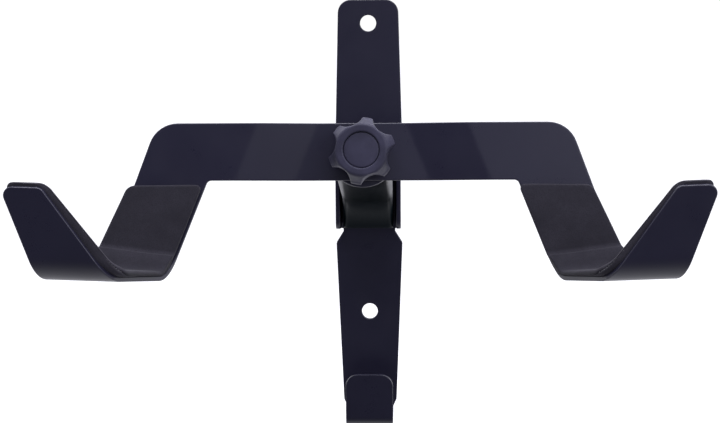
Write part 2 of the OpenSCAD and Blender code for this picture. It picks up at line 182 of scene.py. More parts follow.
def slab(name, loops, place, thick, edge=0.5, step=3.0, grid=7.0, rows=()):
    """A sheet cut to loops, the outline first and then its holes, with rounded edges, and bent
    by place(u, v, w), where w is the height above the middle of the sheet. rows are extra
    points inside it that keep the mesh close along the bend lines."""
    loops = [resample(l, step) for l in loops]
    loops = [l if (area(l) > 0) == (i == 0) else l[::-1] for i, l in enumerate(loops)]
    h, rim = thick / 2, edge * SKIRT
    arc_steps = 4
    turns = [k * math.pi / 2 / arc_steps for k in range(arc_steps + 1)]
    profile = [(rim, h)]
    profile += [(edge * (1 - math.sin(t)), h - edge * (1 - math.cos(t))) for t in turns]
    profile += [(0.0, 0.0)]
    profile += [(d, -w) for d, w in reversed(profile[:-1])]
    verts, faces, rims = [], [], []
    for l in loops:
        first = len(verts)
        for d, w in profile:
            verts += [(u, v, w) for u, v in inset(l, d)]
        n = len(l)
        faces += ring_faces(len(profile), n, first)
        rims.append((first, n))
    flat = [(verts[f + k][0], verts[f + k][1]) for f, n in rims for k in range(n)]
    edges, base = [], 0
    for f, n in rims:
        edges += [(base + k, base + (k + 1) % n) for k in range(n)]
        base += n
    lo, hi = np.array(loops[0]).min(0), np.array(loops[0]).max(0)
    xs = np.arange(lo[0] + grid / 2, hi[0], grid)
    ys = np.arange(lo[1] + grid / 2, hi[1], grid)
    cand = np.array([(x, y) for x in xs for y in ys] or np.zeros((0, 2)))
    if len(rows):
        rows = np.array(rows)
        if len(cand):
            far = ((cand[:, None] - rows[None]) ** 2).sum(2).min(1) > (grid * ROW_CLEAR) ** 2
            cand = cand[far]
        cand = np.concatenate((cand, rows))
    ring = np.array(flat)
    keep = inside(cand, inset(loops[0], rim + RIM_CLEAR))
    for l in loops[1:]:
        keep &= ~inside(cand, inset(l, rim + RIM_CLEAR))
    cand = cand[keep]
    cand = cand[((cand[:, None] - ring[None]) ** 2).sum(2).min(1) > POINT_CLEAR ** 2]
    pts = [Vector(p) for p in flat] + [Vector(p) for p in cand]
    out_v, _, tris, origin, _, _ = delaunay_2d_cdt(pts, edges, [], 0, 1e-7)
    mid = np.array([np.mean([out_v[i][:] for i in t], 0) for t in tris])
    good = inside(mid, inset(loops[0], rim))
    for l in loops[1:]:
        good &= ~inside(mid, inset(l, rim))
    for side in (0, 1):
        rim_index = []
        for f, n in rims:
            start = f + (len(profile) - 1) * n * side
            rim_index += list(range(start, start + n))
        extra = len(verts)
        verts += [(p[0], p[1], h * (1 - 2 * side)) for p in cand]
        where = {}
        for i, o in enumerate(origin):
            for k in o:
                where[i] = rim_index[k] if k < len(flat) else extra + k - len(flat)
                break
        for t, g in zip(tris, good):
            if g and all(i in where for i in t):
                f = [where[i] for i in t]
                faces.append(f if side == 0 else f[::-1])
    return mesh_object(name, [place(*v) for v in verts], faces)


def lathe(name, profile, place, n=64, closed=False):
    """A solid of revolution. profile is (radius, height) points; place(x, y, h) puts them."""
    verts = []
    for r, h in profile:
        verts += [place(r * math.cos(2 * math.pi * k / n), r * math.sin(2 * math.pi * k / n), h)
                  for k in range(n)]
    return mesh_object(name, verts, ring_faces(len(profile), n, closed=closed))


def fit(piece, material, body, slot, *nodes):
    """Finishes a piece: its material, the body it rides on and the CAD nodes it stands for."""
    piece.data.materials.clear()
    piece.data.materials.append(material)
    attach(piece, body)
    if nodes:
        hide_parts(*nodes)
    return piece


# ---- materials ----

class Shader:
    """A Principled material and the few node chains that all of them use."""

    def __init__(self, name, **values):
        self.material = bpy.data.materials.new(name)
        self.material.use_nodes = True
        self.tree = self.material.node_tree
        self.bsdf = self.tree.nodes["Principled BSDF"]
        for key, value in values.items():
            self.bsdf.inputs[key.replace("_", " ")].default_value = value
        self.coords = self.add("ShaderNodeTexCoord").outputs["Object"]

    def add(self, kind, **inputs):
        node = self.tree.nodes.new(kind)
        for key, value in inputs.items():
            node.inputs[key].default_value = value
        return node

    def wire(self, a, b):
        self.tree.links.new(a, b)

    def noise(self, scale, detail=2.0, rough=0.5):
        node = self.add("ShaderNodeTexNoise", Scale=scale, Detail=detail, Roughness=rough)
        self.wire(self.coords, node.inputs["Vector"])
        return node.outputs["Fac"]

    def cells(self, scale, feature="F1"):
        node = self.add("ShaderNodeTexVoronoi", Scale=scale)
        node.feature = feature
        self.wire(self.coords, node.inputs["Vector"])
        return node.outputs["Distance"]

    def remap(self, value, a, b, c=0.0, d=1.0):
        node = self.add("ShaderNodeMapRange")
        self.wire(value, node.inputs["Value"])
        for key, x in zip(("From Min", "From Max", "To Min", "To Max"), (a, b, c, d)):
            node.inputs[key].default_value = x
        return node.outputs["Result"]

    def math(self, op, a, b):
        node = self.tree.nodes.new("ShaderNodeMath")
        node.operation = op
        for i, x in enumerate((a, b)):
            if isinstance(x, (int, float)):
                node.inputs[i].default_value = x
            else:
                self.wire(x, node.inputs[i])
        return node.outputs["Value"]

    def mix(self, fac, a, b):
        node = self.tree.nodes.new("ShaderNodeMix")
        node.data_type = "RGBA"
        self.wire(fac, node.inputs["Factor"])
        for i, x in ((6, a), (7, b)):
            if isinstance(x, tuple):
                node.inputs[i].default_value = (*x, 1.0)
            else:
                self.wire(x, node.inputs[i])
        return node.outputs[2]

    def bump(self, height, strength, distance, under=None):
        node = self.add("ShaderNodeBump", Strength=strength, Distance=distance)
        self.wire(height, node.inputs["Height"])
        if under is not None:
            self.wire(under, node.inputs["Normal"])
        return node.outputs["Normal"]

    def to(self, socket, value):
        self.wire(value, self.bsdf.inputs[socket])


def powder_coat(name, dark, light, shine=0.5):
    """Satin powder coat: orange peel, a finer grain, and edges worn a little paler."""
    s = Shader(name, Specular_IOR_Level=shine)
    tone = s.remap(s.noise(14.0, 3.0), 0.35, 0.65)
    worn = s.remap(s.add("ShaderNodeNewGeometry").outputs["Pointiness"], 0.52, 0.62)
    worn = s.math("MULTIPLY", worn, s.remap(s.noise(160.0, 4.0), 0.4, 0.62))
    coat = s.mix(tone, dark, light)
    s.to("Base Color", s.mix(worn, coat, (0.045, 0.045, 0.058)))
    gloss = s.remap(s.noise(45.0, 3.0), 0.3, 0.7, 0.29, 0.37)
    s.to("Roughness", s.math("ADD", gloss, s.remap(s.noise(2600.0, 1.0), 0.3, 0.7, -0.03, 0.03)))
    peel = s.bump(s.noise(620.0, 2.0), 0.10, 0.00014)
    s.to("Normal", s.bump(s.noise(3000.0, 1.0), 0.10, 0.00004, peel))
    return s.material


def eva_foam():
    """Dull closed-cell foam, with pitted cells and a slightly wrinkled skin. The pits are painted
    darker: painted shade in them.
    """
    s = Shader("eva_foam", Specular_IOR_Level=0.18, Sheen_Weight=0.07, Sheen_Roughness=0.6)
    cloud = s.remap(s.noise(55.0, 3.0), 0.35, 0.65)
    # Voronoi cells: their centres are pits in the bump and painted shade in the colour.
    pore_pits_and_shade = s.remap(s.cells(1500.0), 0.05, 0.5)
    body = s.mix(cloud, (0.0195, 0.0180, 0.0245), (0.0260, 0.0240, 0.0320))
    # The darker colour at the cell centres is painted shade in the pits.
    s.to("Base Color", s.mix(pore_pits_and_shade, (0.0150, 0.0140, 0.0180), body))
    s.to("Roughness", s.remap(s.noise(300.0, 2.0), 0.3, 0.7, 0.82, 0.95))
    skin = s.bump(s.noise(420.0, 3.0, 0.6), 0.25, 0.0004)
    s.to("Normal", s.bump(pore_pits_and_shade, 0.35, 0.00015, skin))
    return s.material


def moulded_plastic():
    s = Shader("moulded_plastic", Specular_IOR_Level=0.2)
    dark = (0.0280, 0.0270, 0.0440)
    light = tuple(c * 1.5 for c in dark)
    s.to("Base Color", s.mix(s.remap(s.noise(70.0, 3.0), 0.35, 0.65), dark, light))
    s.to("Roughness", s.remap(s.noise(500.0, 2.0), 0.3, 0.7, 0.42, 0.54))
    s.to("Normal", s.bump(s.noise(2600.0, 2.0), 0.18, 0.00008))
    return s.material


def plated(name, bright, dull, low, high):
    """Plated or bare metal, with faint stains and turning marks."""
    s = Shader(name, Metallic=1.0)
    s.to("Base Color", s.mix(s.remap(s.noise(260.0, 4.0), 0.35, 0.65), bright, dull))
    s.to("Roughness", s.remap(s.noise(900.0, 3.0), 0.3, 0.7, low, high))
    s.to("Normal", s.bump(s.noise(1800.0, 2.0), 0.12, 0.0001))
    return s.material


def nylon():
    s = Shader("nylon", Subsurface_Weight=0.15, Subsurface_Scale=0.002)
    cloud = s.remap(s.noise(200.0, 3.0), 0.35, 0.65)
    s.to("Base Color", s.mix(cloud, (0.62, 0.61, 0.57), (0.70, 0.69, 0.66)))
    s.to("Roughness", s.remap(s.noise(600.0, 2.0), 0.3, 0.7, 0.42, 0.55))
    s.to("Normal", s.bump(s.noise(1500.0, 2.0), 0.12, 0.0001))
    return s.material


BLACK = powder_coat("black_powder_coat", (0.0120, 0.0113, 0.0240), (0.0150, 0.0143, 0.0290))
# The arm's coat is the black coat made darker: its darker colour is painted shade for the arm
# sitting between the ears and under the knob, and its teal tint is the arm's own tone.
ARM_SHADED_BLACK = powder_coat("arm_powder_coat_painted_shade", (0.0030, 0.0066, 0.0085), (0.0045, 0.0088, 0.0108),
                        shine=0.15)
FOAM = eva_foam()
PLASTIC = moulded_plastic()
ZINC = plated("zinc_plate", (0.60, 0.62, 0.66), (0.44, 0.46, 0.50), 0.26, 0.42)
BRASS = plated("brass", (0.72, 0.52, 0.24), (0.55, 0.38, 0.17), 0.22, 0.36)
NYLON = nylon()
FINISH = {"black_steel": BLACK, "foam": FOAM, "knob_plastic": PLASTIC,
          "zinc_steel": ZINC, "brass": BRASS, "nylon": NYLON}

for part in frame["record"]["subparts"]:
    node = frame["nodes"][part["node"]]
    node.data.materials.clear()
    node.data.materials.append(FINISH[part["material_slot"]])


# ---- the cradle: one strip, set back in the middle and bent into two hooks ----

HALF_TOP, HALF_LOW, BAR_TOP, BAR_LOW, SET_BACK = 123.0, 92.5, 17.5, -17.0, 5.0
SIDE_RUN, OUTER_RUN = 0.4, 0.37
SIDE_ANGLE = math.atan(SIDE_RUN)
TILT = math.radians(2)
BEND_DROP, BEND_1, BEND_2 = 61.3, 14.8, 15.0
FLOOR, FLARE, FRONT = 43.6, math.radians(15.4), 40.0
ARC_1 = BEND_1 * math.pi / 2
ARC_2 = BEND_2 * (math.pi / 2 - FLARE)
BEND_2_AT = ARC_1 + FLOOR
FRONT_AT = BEND_2_AT + ARC_2
STRIP_END = FRONT_AT + FRONT
INNER_RUN_A = math.tan(SIDE_ANGLE - TILT)
OUTER_RUN_A = math.tan(math.atan(OUTER_RUN) - TILT)
INNER_TAPER_AT, INNER_TAPER = 72.8, 0.717
OUTER_TAPER_AT, OUTER_TAPER = 4.0, 0.367
KINKS = (31.4, 64.7)
CRADLE_EDGE_R = 0.6


def edge_start(x, z, run):
    """Where an edge of the side arm, which starts at x and z, crosses the first bend."""
    drop = (z + BEND_DROP + (HALF_LOW - x) * math.tan(TILT)) / (1 + run * math.tan(TILT))
    return (x + run * drop - HALF_LOW) / math.cos(TILT)


INNER_START = edge_start(HALF_LOW, BAR_LOW, SIDE_RUN)
OUTER_START = edge_start(HALF_TOP, BAR_TOP, OUTER_RUN)


def inner_edge(t):
    return (INNER_START + INNER_RUN_A * min(t, INNER_TAPER_AT)
            + INNER_TAPER * max(0, t - INNER_TAPER_AT))


def outer_edge(t):
    return (OUTER_START + OUTER_RUN_A * min(t, OUTER_TAPER_AT)
            + OUTER_TAPER * max(0, t - OUTER_TAPER_AT))


def bent(t, off):
    """Forward and down along the strip's section, at t along it and off inside its middle."""
    if t <= 0:
        return off, t
    if t <= ARC_1:
        k = t / BEND_1
        return BEND_1 - (BEND_1 - off) * math.cos(k), (BEND_1 - off) * math.sin(k)
    if t <= BEND_2_AT:
        return BEND_1 + t - ARC_1, BEND_1 - off
    k = min(t - BEND_2_AT, ARC_2) / BEND_2
    h = max(0, t - FRONT_AT)
    return (BEND_1 + FLOOR + (BEND_2 - off) * math.sin(k) + h * math.cos(k),
            BEND_1 - BEND_2 + (BEND_2 - off) * math.cos(k) - h * math.sin(k))


def hook_point(a, forward, down):
    """A point of the right-hand hook in the bar's frame."""
    c, s = math.cos(TILT), math.sin(TILT)
    return (HALF_LOW + a * c + down * s, SHEET / 2 - forward, -BEND_DROP + a * s - down * c)


def flat_point(a, t):
    """The same place on the flat sheet, in the plane of the bar."""
    c, s = math.cos(TILT), math.sin(TILT)
    return HALF_LOW + a * c + t * s, -BEND_DROP + a * s - t * c


def soft_ramp(x, h=1.4):
    return 0.0 if x < -h else x if x > h else (x + h) ** 2 / (4 * h)


def place_cradle(x, z, off):
    side, x = math.copysign(1, x), abs(x)
    u, v = x - HALF_LOW, z + BEND_DROP
    t = u * math.sin(TILT) - v * math.cos(TILT)
    if t > 0:
        p = hook_point(u * math.cos(TILT) + v * math.sin(TILT), *bent(t, off))
    else:
        across = x * math.cos(SIDE_ANGLE) + z * math.sin(SIDE_ANGLE)
        back = SET_BACK * (1 - (soft_ramp(across - KINKS[0]) - soft_ramp(across - KINKS[1]))
                           / (KINKS[1] - KINKS[0]))
        p = (x, SHEET / 2 - off + back, z)
    return at_bar((side * p[0], p[1], p[2]))


def cradle():
    def corner(a, t, r):
        return (*flat_point(a, t), r)

    half = [(HALF_LOW, BAR_LOW, 3.0),
            corner(inner_edge(INNER_TAPER_AT), INNER_TAPER_AT, 6.0),
            corner(inner_edge(STRIP_END), STRIP_END, 5.0),
            corner(outer_edge(STRIP_END), STRIP_END, 5.0),
            corner(outer_edge(OUTER_TAPER_AT), OUTER_TAPER_AT, 6.0),
            (HALF_TOP, BAR_TOP, 18.0)]
    outline = rounded(half + [(-x, z, r) for x, z, r in reversed(half)])
    rows = []
    bends = [ARC_1 * k / 12 for k in range(13)]
    bends += [BEND_2_AT + ARC_2 * k / 12 for k in range(13)]
    for t in bends + [-3.0, ARC_1 + 3, BEND_2_AT - 3, FRONT_AT + 3]:
        width = outer_edge(t) - inner_edge(t)
        rows += [flat_point(inner_edge(t) + width * k / 12, t) for k in range(13)]
    for kink in KINKS:
        for shift in (-2.6, -1.4, -0.5, 0.5, 1.4, 2.6):
            p = kink + shift
            for k in range(-20, 21):
                q = k * 2.5
                rows.append((p * math.cos(SIDE_ANGLE) - q * math.sin(SIDE_ANGLE),
                             p * math.sin(SIDE_ANGLE) + q * math.cos(SIDE_ANGLE)))
    rows = [r for r in rows if r[0] > 0]
    rows += [(-x, z) for x, z in rows]
    hole = arc((0, 0), BORE_R, 0, 360, 32)[:-1]
    return slab("cradle_strip", [outline, hole], place_cradle, SHEET, edge=CRADLE_EDGE_R,
                step=2.0, rows=rows)


fit(cradle(), BLACK, "cradle", "black_steel", "cradle")

# ---- the wall plate: ears folded forward and the helmet hook bent up at its foot ----

NOTCH_X, EARS_W, EARS_OUT = 18.0, 44.0, 32.0
EARS_TOP, EARS_LOW, EARS_FOOT = 22.0, -38.0, -41.5
EAR_MID_R = 2.5
EAR_BEND_OUT = SHEET / 2 + EAR_MID_R
EAR_ARC = EAR_MID_R * math.pi / 2
EAR_END = NOTCH_X + EAR_ARC + EARS_OUT - EAR_BEND_OUT
HOOK_DEPTH, HOOK_LOW, HOOK_LIP, HOOK_R, HOOK_W = 31.0, -175.0, -139.0, 6.0, 32.4
HOOK_MID_R = HOOK_R - SHEET / 2
HOOK_ARC = HOOK_MID_R * math.pi / 2
HOOK_FLOOR = HOOK_DEPTH - 2 * HOOK_R
HOOK_START = HOOK_LOW + HOOK_R
HOOK_END = HOOK_START - 2 * HOOK_ARC - HOOK_FLOOR - (HOOK_LIP - HOOK_START)
PLATE_TOP, PLATE_TOP_W, PLATE_MID_W, PLATE_LOW_W = 116.0, 41.0, 45.6, 37.0
SCREW_HOLE_R, SCREW_HOLES_UP, HOOK_CORNER_R = 5.5, (-100, 100), 8.5


def place_plate(u, v, w):
    """A point of the flat sheet after its ears and its hook are bent."""
    out, x, z = SHEET / 2 + w, u, v
    if abs(u) > NOTCH_X:
        side, s = math.copysign(1, u), abs(u) - NOTCH_X
        k = min(s, EAR_ARC) / EAR_MID_R
        x = side * (NOTCH_X + (EAR_MID_R - w) * math.sin(k))
        out = EAR_BEND_OUT - (EAR_MID_R - w) * math.cos(k) + max(0, s - EAR_ARC)
        if not EARS_FOOT - 1 <= v <= EARS_TOP + 1:
            x, out = u, SHEET / 2 + w
    elif v < HOOK_START:
        q = HOOK_START - v
        if q <= HOOK_ARC:
            k = q / HOOK_MID_R
            out = HOOK_R - (HOOK_MID_R - w) * math.cos(k)
            z = HOOK_START - (HOOK_MID_R - w) * math.sin(k)
        elif q <= HOOK_ARC + HOOK_FLOOR:
            out, z = HOOK_R + q - HOOK_ARC, HOOK_LOW + SHEET / 2 + w
        else:
            q -= HOOK_ARC + HOOK_FLOOR
            k = min(q, HOOK_ARC) / HOOK_MID_R
            out = HOOK_DEPTH - HOOK_R + (HOOK_MID_R - w) * math.sin(k)
            z = HOOK_START - (HOOK_MID_R - w) * math.cos(k) + max(0, q - HOOK_ARC)
    return x, -out, z


def wall_plate():
    neck = HOOK_LOW + HOOK_R + 6
    outline = rounded(both_sides([
        (PLATE_TOP_W / 2, PLATE_TOP, 9), (PLATE_MID_W / 2, EARS_TOP + 8, 2),
        (NOTCH_X, EARS_TOP + 5, 1.5), (NOTCH_X, EARS_TOP, 0.7), (EAR_END, EARS_TOP, 10),
        (EAR_END, EARS_LOW, 7), (NOTCH_X, EARS_FOOT, 0.7), (NOTCH_X, EARS_FOOT - 2, 1),
        (PLATE_MID_W / 2 + 0.2, EARS_FOOT - 10, 4), (PLATE_LOW_W / 2, neck, 2),
        (HOOK_W / 2, neck - 5, 1), (HOOK_W / 2, HOOK_END, HOOK_CORNER_R)]))
    holes = [arc((0, z), SCREW_HOLE_R, 0, 360, 48)[:-1] for z in SCREW_HOLES_UP]
    ear_hole = NOTCH_X + EAR_ARC + HINGE_OUT - EAR_BEND_OUT
    holes += [arc((s * ear_hole, HINGE_UP), BORE_R, 0, 360, 32)[:-1] for s in (-1, 1)]
    rows = []
    up_the_ear = np.arange(EARS_FOOT + 2.2, EARS_TOP - 2, 2.5)
    for k in range(-1, 10):
        u = NOTCH_X + EAR_ARC * k / 8
        rows += [(s * u, v) for s in (-1, 1) for v in up_the_ear]
    for start in (HOOK_START, HOOK_START - HOOK_ARC - HOOK_FLOOR):
        for k in range(-1, 10):
            rows += [(u, start - HOOK_ARC * k / 8) for u in np.arange(-14.5, 14.6, 2.9)]
    return slab("wall_plate_sheet", [outline] + holes, place_plate, SHEET, step=1.6, rows=rows)


fit(wall_plate(), BLACK, "wall_bracket", "black_steel", "wall_plate")

# ---- the arm: a channel whose web curves from the heel up to the head ----

ARM_W, ARM_SLOPE, CURVE_R, WEB_OUT, WEB_FOOT = 33.6, math.radians(16), 34.0, 26.0, -38.0
HEAD_DOWN, HEAD_RISE, HEEL_DROP, EYE_END = -14, 10, 16, math.radians(76)
WALL_AT, LEAST_SINE = (0.08, 0.35, 0.65, 0.92), 0.35
DISC_T, HEAD_T = 1.5, 4.0
HEAD_BACK = SET_BACK + SHEET + DISC_T + HEAD_T
HEEL_OUT = SHEET + 0.1
EYE_R = 15.0


def bar_side(behind, up):
    """Distance from the wall and height of a point behind the bar's face."""
    p = at_bar((0, behind, up))
    return np.array((-p[1], p[2]))


def along_path(points, n):
    """n + 1 evenly spaced points of a polyline."""
    p = np.array(points)
    at = np.concatenate(([0], np.cumsum(np.linalg.norm(np.diff(p, axis=0), axis=1))))
    want = np.linspace(0, at[-1], n + 1)
    return np.stack((np.interp(want, at, p[:, 0]), np.interp(want, at, p[:, 1])), 1)


def arm():
    """The channel, lofted through stations from its foot to the head plate."""
    head = bar_side(HEAD_BACK, HEAD_DOWN)
    end = math.pi / 2 + ARM_SLOPE
    curve_out = WEB_OUT + CURVE_R * (1 + math.cos(end))
    curve_up = head[1] - (head[0] - curve_out) * math.tan(ARM_SLOPE)
    mid = np.array((WEB_OUT + CURVE_R, curve_up - CURVE_R * math.sin(end)))
    foot = math.pi - math.asin((WEB_FOOT - mid[1]) / CURVE_R)
    bow = [mid + CURVE_R * np.array((math.cos(a), math.sin(a)))
           for a in np.linspace(foot, end, 40)]
    eye = np.array((HINGE_OUT, HINGE_UP))
    rim_eye = [eye + EYE_R * np.array((math.cos(a), math.sin(a)))
               for a in np.linspace(math.pi, EYE_END, 30)]
    heel = (HEEL_OUT, HINGE_UP - HEEL_DROP)
    # the web's face and the walls' rim, paired station by station
    face = np.concatenate((along_path(bow[:20], 12)[:-1], along_path(bow[19:], 20)[:-1],
                           along_path([bow[-1], head], 22)))
    rim = np.concatenate((along_path([(HEEL_OUT, WEB_FOOT), heel], 12)[:-1],
                          along_path([heel] + rim_eye, 20)[:-1],
                          along_path([rim_eye[-1], bar_side(HEAD_BACK, HEAD_RISE)], 22)))
    outer_r, inner_r, lip_r, half = 3.6, 0.8, 0.6, ARM_W / 2
    rings = []
    for i, (a, b) in enumerate(zip(face, rim)):
        ahead = face[min(i + 1, len(face) - 1)] - face[max(i - 1, 0)]
        ahead /= np.linalg.norm(ahead)
        reach = b - a
        length = np.linalg.norm(reach)
        reach /= length
        stretch = 1 / max(LEAST_SINE, abs(ahead[0] * reach[1] - ahead[1] * reach[0]))
        web = SHEET * stretch

        def corner(x, d, r, start, n, outward=1):
            """Quarter round about (x, d): x across, d from the face, flattened by stretch."""
            return [(x + outward * r * math.cos(k), d + r * stretch * math.sin(k))
                    for k in np.linspace(start, start + outward * math.pi / 2, n)]

        out = [(k * (half - outer_r), 0.0) for k in np.linspace(0, 1, 6)][:-1]
        out += corner(half - outer_r, outer_r * stretch, outer_r, -math.pi / 2, 9)
        out += [(half, outer_r * stretch + (length - lip_r - outer_r * stretch) * k)
                for k in WALL_AT]
        out += [(half - lip_r + lip_r * math.cos(k), length - lip_r + lip_r * math.sin(k))
                for k in np.linspace(0, math.pi / 2, 5)]
        inn = [(k * (half - SHEET - inner_r), web) for k in np.linspace(0, 1, 6)][:-1]
        inn += [(half - SHEET - inner_r + inner_r * math.sin(k), web + inner_r * (1 - math.cos(k)))
                for k in np.linspace(0, math.pi / 2, 9)]
        inn += [(half - SHEET, web + inner_r + (length - lip_r - web - inner_r) * k)
                for k in WALL_AT]
        inn += [(half - SHEET + lip_r - lip_r * math.cos(k), length - lip_r + lip_r * math.sin(k))
                for k in np.linspace(0, math.pi / 2, 5)]
        right = [(x, *(a + reach * d)) for x, d in out]
        back = [(x, *(a + reach * d)) for x, d in inn]
        ring = [(-x, o, z) for x, o, z in right[:0:-1]] + right
        hollow = [(-x, o, z) for x, o, z in back[:0:-1]] + back
        rings.append((ring, hollow))
    verts, faces = [], []
    n = len(rings[0][0])
    for ring, hollow in rings:
        verts += [(x, -o, z) for x, o, z in ring] + [(x, -o, z) for x, o, z in hollow]
    for i in range(len(rings) - 1):
        a, b = i * 2 * n, (i + 1) * 2 * n
        for k in range(n - 1):
            faces.append((a + k, a + k + 1, b + k + 1, b + k))
            faces.append((a + n + k, b + n + k, b + n + k + 1, a + n + k + 1))
        for k, step in ((0, 1), (n - 1, -1)):
            faces.append((a + k, b + k, b + n + k, a + n + k)[::step])
    for a, step in ((0, 1), ((len(rings) - 1) * 2 * n, -1)):
        faces += [(a + k, a + n + k, a + n + k + 1, a + k + 1)[::step] for k in range(n - 1)]
    piece = mesh_object("arm_channel", verts, faces)
    bevel = piece.modifiers.new("ends", "BEVEL")
    bevel.width, bevel.segments, bevel.limit_method = 0.4 * MM, 2, "ANGLE"
    bevel.angle_limit = math.radians(60)
    return piece


fit(arm(), ARM_SHADED_BLACK, "arm", "black_steel", "arm")

HEAD_R, HEAD_CUT = 21.0, 2.5


def head_plate():
    """A round plate cut level a little below the top of the bar."""
    cut = math.degrees(math.asin((BAR_TOP - HEAD_CUT) / HEAD_R))
    outline = arc((0, 0), HEAD_R, 180 - cut, 360 + cut, 90)
    hole = [(BORE_R * a, BORE_R * b) for a, b in ((1, 1), (-1, 1), (-1, -1), (1, -1))]

    def place(x, z, w):
        return at_bar((x, HEAD_BACK - HEAD_T / 2 - w, z))

    return slab("head_disc", [outline, hole], place, HEAD_T, edge=0.9, step=1.5)


fit(head_plate(), BLACK, "arm", "black_steel", "head_plate")

# ---- the foam pads ----

PAD_GAP, PAD_OVER, PAD_FAN, PAD_INSET, PAD_CLOSE = 2.7, 1.5, 0.1, 3.0, 3.2
PAD_CORNER_R, PAD_EDGE_R, PAD_SAG = 4.0, 1.1, 0.35
UPPER_T, FOLD_T, FOLD_IN, FOLD_RUN = 3.7, 4.9, 1.4, 4.4
DRAWN_T = 10.0  # a section is drawn this thick and then fitted, so that its edges stay round
SIDE_BULGE, BACK_TUCK = 0.12, 0.4
UNEVEN_BROAD, UNEVEN_FINE, UNEVEN_SCALE, UNEVEN_ABOVE = 0.22, 0.08, 0.09, 0.6
# foam thickness from the floor to the end of the front plate
PAD_AT = (ARC_1, BEND_2_AT, BEND_2_AT + ARC_2 / 2, FRONT_AT, STRIP_END)
PAD_T = (3.0, 4.1, 4.7, 4.0, 4.0)
COLUMNS = 16


def fold(f):
    """Where the foam is creased, from its inner edge at f = 0 to its outer edge at f = 1."""
    return FOLD_IN - FOLD_RUN * f


def foam_face(t, f):
    """Forward and down of the foam's face. Under the crease it bridges the first bend."""
    crease = fold(f)
    if t < crease - 1e-6:
        return np.array(bent(t, SHEET / 2 + UPPER_T))
    if t >= ARC_1:
        return np.array(bent(t, SHEET / 2 + np.interp(t, PAD_AT, PAD_T)))
    q = (t - crease) / (ARC_1 - crease)
    a = np.array(bent(crease, SHEET / 2 + FOLD_T))
    b = np.array(bent(ARC_1, SHEET / 2 + PAD_T[0]))
    round_face = np.array(bent(t, SHEET / 2 + FOLD_T + (PAD_T[0] - FOLD_T) * q))
    return (a + (b - a) * q) * (1 - q * q) + round_face * q * q


def pad_section(thick, width, lose):
    """Outline across a pad: place across, its share of the width, and height."""
    high = thick - lose - PAD_SAG
    r = min(PAD_EDGE_R, high * 0.49)
    turn = np.linspace(0, math.pi / 2, 5)
    out = []
    for k in range(COLUMNS + 1):
        f = k / COLUMNS
        out.append((r + (width - 2 * r) * f, f, high + PAD_SAG * (1 - (2 * f - 1) ** 4)))
    out += [(width - r + r * math.sin(a), 1, high - r + r * math.cos(a)) for a in turn[1:]]
    out += [(width - SIDE_BULGE * math.sin(math.pi * k / 4), 1, (high - r) * (1 - k / 4))
            for k in (1, 2, 3)]
    out += [(width - BACK_TUCK - (width - 2 * BACK_TUCK) * k / 6, 1 - k / 6, 0.0)
            for k in range(7)]
    out += [(SIDE_BULGE * math.sin(math.pi * k / 4), 0, (high - r) * k / 4) for k in (1, 2, 3)]
    return out + [(r - r * math.sin(a), 0, high - r + r * math.cos(a)) for a in turn[:0:-1]]


